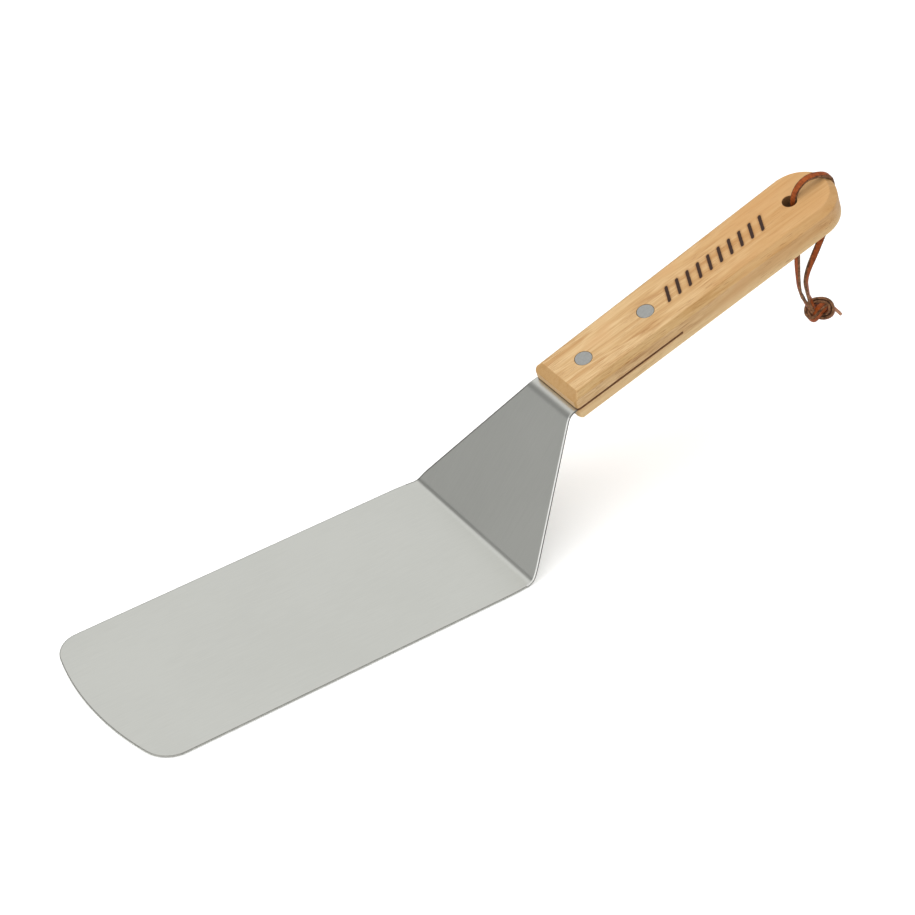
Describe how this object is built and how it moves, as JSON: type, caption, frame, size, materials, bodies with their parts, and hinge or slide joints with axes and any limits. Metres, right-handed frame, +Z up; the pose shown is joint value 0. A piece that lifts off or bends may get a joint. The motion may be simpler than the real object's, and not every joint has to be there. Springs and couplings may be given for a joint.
{
  "type": "grill spatula",
  "caption": "Grill turner: wide flat steel blade on a cranked neck, riveted into a wooden handle with a leather hanging lace.",
  "frame": {"origin": "under the middle of the overall length, on the plane that the blade lies on", "axes": "+X from the blade's tip to the handle's butt, +Y across the blade, +Z up from the table"},
  "size_m": [0.4113, 0.09, 0.1199],
  "materials": {
    "stainless_sheet": "fine satin, with the rolling direction along the blade",
    "pale_hardwood": "pale yellow-tan open-pored hardwood, sanded and lightly oiled",
    "rivet_metal": "dull grey, sanded flush with the wood",
    "brown_leather": "orange-brown grain side, duller grey-brown flesh side and cut edges"
  },
  "bodies": {
    "turner": {"blade": "stainless_sheet", "handle": "pale_hardwood", "front_rivet_pin": "rivet_metal", "front_rivet_tube": "rivet_metal", "rear_rivet_pin": "rivet_metal", "rear_rivet_tube": "rivet_metal", "lace_over_end": "brown_leather"},
    "lanyard": {"lace_front_strand": "brown_leather", "lace_rear_strand": "brown_leather", "lace_knot": "brown_leather", "lace_tail": "brown_leather", "lace_tucked_tail": "brown_leather"}
  },
  "joints": [
    {"name": "lanyard_swing", "type": "hinge", "parent": "turner", "child": "lanyard", "pos_m": [0.1809, 0, 0.0927], "axis": [0.9435, 0.0517, 0.3274], "range_deg": [-60, 60]}
  ]
}
